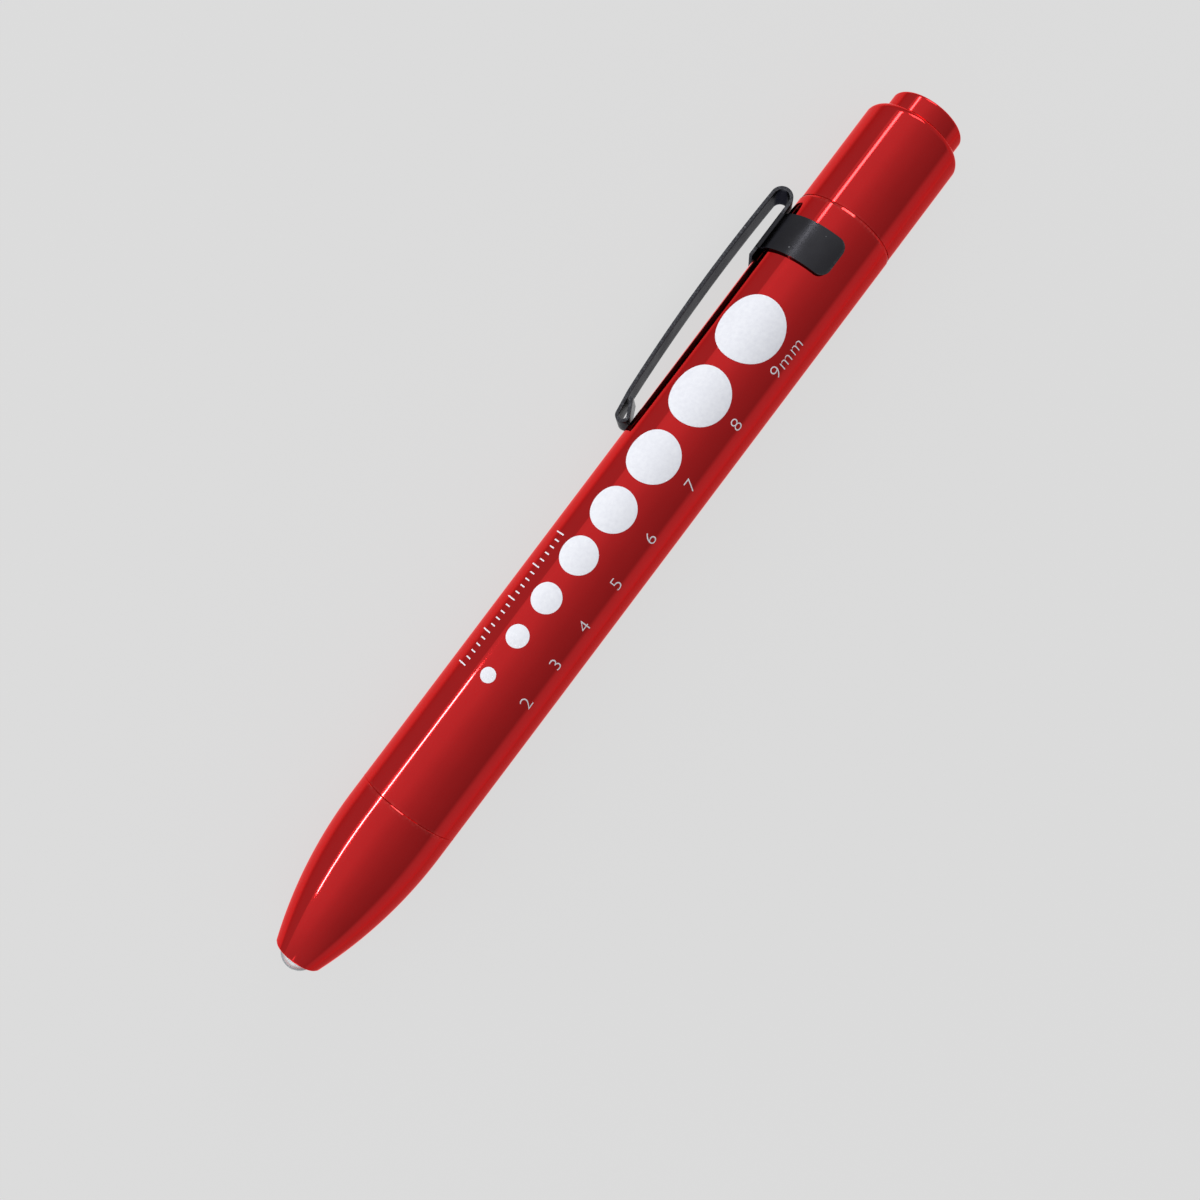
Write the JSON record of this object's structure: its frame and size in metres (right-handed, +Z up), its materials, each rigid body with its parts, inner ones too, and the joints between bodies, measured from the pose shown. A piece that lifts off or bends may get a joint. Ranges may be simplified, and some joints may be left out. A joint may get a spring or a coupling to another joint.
{
  "type": "penlight",
  "caption": "Slim round penlight with a rounded lamp head, a push button in the tail, a folded pocket clip and a printed pupil gauge on the barrel.",
  "frame": {"origin": "on the pen's axis, at the seam between the head and the barrel", "axes": "+X along the pen towards the button, +Z up with the pen lying on the band and the edge of its clip"},
  "size_m": [0.1345, 0.017, 0.0147],
  "materials": {
    "anodised_aluminium": "turned, satin, dyed red and anodised",
    "black_spring_steel": "stamped strip, black, satin",
    "printed_ink": "white ink, pad printed",
    "lamp_epoxy": "cast clear epoxy",
    "tinned_lead": "tinned strip",
    "holder_plastic": "moulded, natural",
    "brass_contact": "turned, bright",
    "cell_can": "plain sleeve on a can",
    "spring_wire": "drawn wire, plated"
  },
  "bodies": {
    "barrel": {"barrel": "anodised_aluminium", "gauge_dots": "printed_ink", "front_cell": "cell_can", "rear_cell": "cell_can"},
    "lamp_unit": {"lamp": "lamp_epoxy", "anode_lead": "tinned_lead", "cathode_lead": "tinned_lead", "lamp_holder": "holder_plastic", "lamp_contact": "brass_contact"},
    "head": {"head_shell": "anodised_aluminium"},
    "tail_contact": {"contact_disc": "brass_contact", "battery_spring": "spring_wire"},
    "tail_cap": {"tail_cap": "anodised_aluminium", "switch_bush": "holder_plastic", "switch_ring": "brass_contact"},
    "button": {"button": "anodised_aluminium", "plunger": "brass_contact", "return_spring": "spring_wire"},
    "clip": {"clip_band": "black_spring_steel"},
    "clip_arm": {"clip_arm": "black_spring_steel"}
  },
  "joints": [
    {"name": "head_out", "type": "slide", "parent": "barrel", "child": "lamp_unit", "axis": [-1, 0, 0], "range_m": [0, 0.0045]},
    {"name": "head_turn", "type": "hinge", "parent": "lamp_unit", "child": "head", "pos_m": [0, 0, 0], "axis": [-1, 0, 0], "range_deg": [0, 2160]},
    {"name": "tail_cap_out", "type": "slide", "parent": "barrel", "child": "tail_contact", "axis": [1, 0, 0], "range_m": [0, 0.0045], "deforming": ["battery_spring"]},
    {"name": "tail_cap_turn", "type": "hinge", "parent": "tail_contact", "child": "tail_cap", "pos_m": [0.09126, 0, 0], "axis": [1, 0, 0], "range_deg": [0, 2160]},
    {"name": "button_press", "type": "slide", "parent": "tail_cap", "child": "button", "axis": [-1, 0, 0], "range_m": [0, 0.0015], "stiffness_N_per_m": 400, "springref_m": -0.004, "deforming": ["return_spring"]},
    {"name": "clip_turn", "type": "hinge", "parent": "barrel", "child": "clip", "pos_m": [0.08511, 0, 0], "axis": [1, 0, 0], "continuous": true},
    {"name": "clip_flex", "type": "hinge", "parent": "clip", "child": "clip_arm", "pos_m": [0.08946, 0.0086, -0.0052], "axis": [0, -0.5173, -0.8558], "range_deg": [0, 6], "stiffness_Nm_per_rad": 1.5, "springref_deg": -2.86}
  ],
  "couplings": [
    {"joint": "head_turn", "follows": "head_out", "rad_per_m": 8377.6},
    {"joint": "tail_cap_turn", "follows": "tail_cap_out", "rad_per_m": 8377.6}
  ]
}
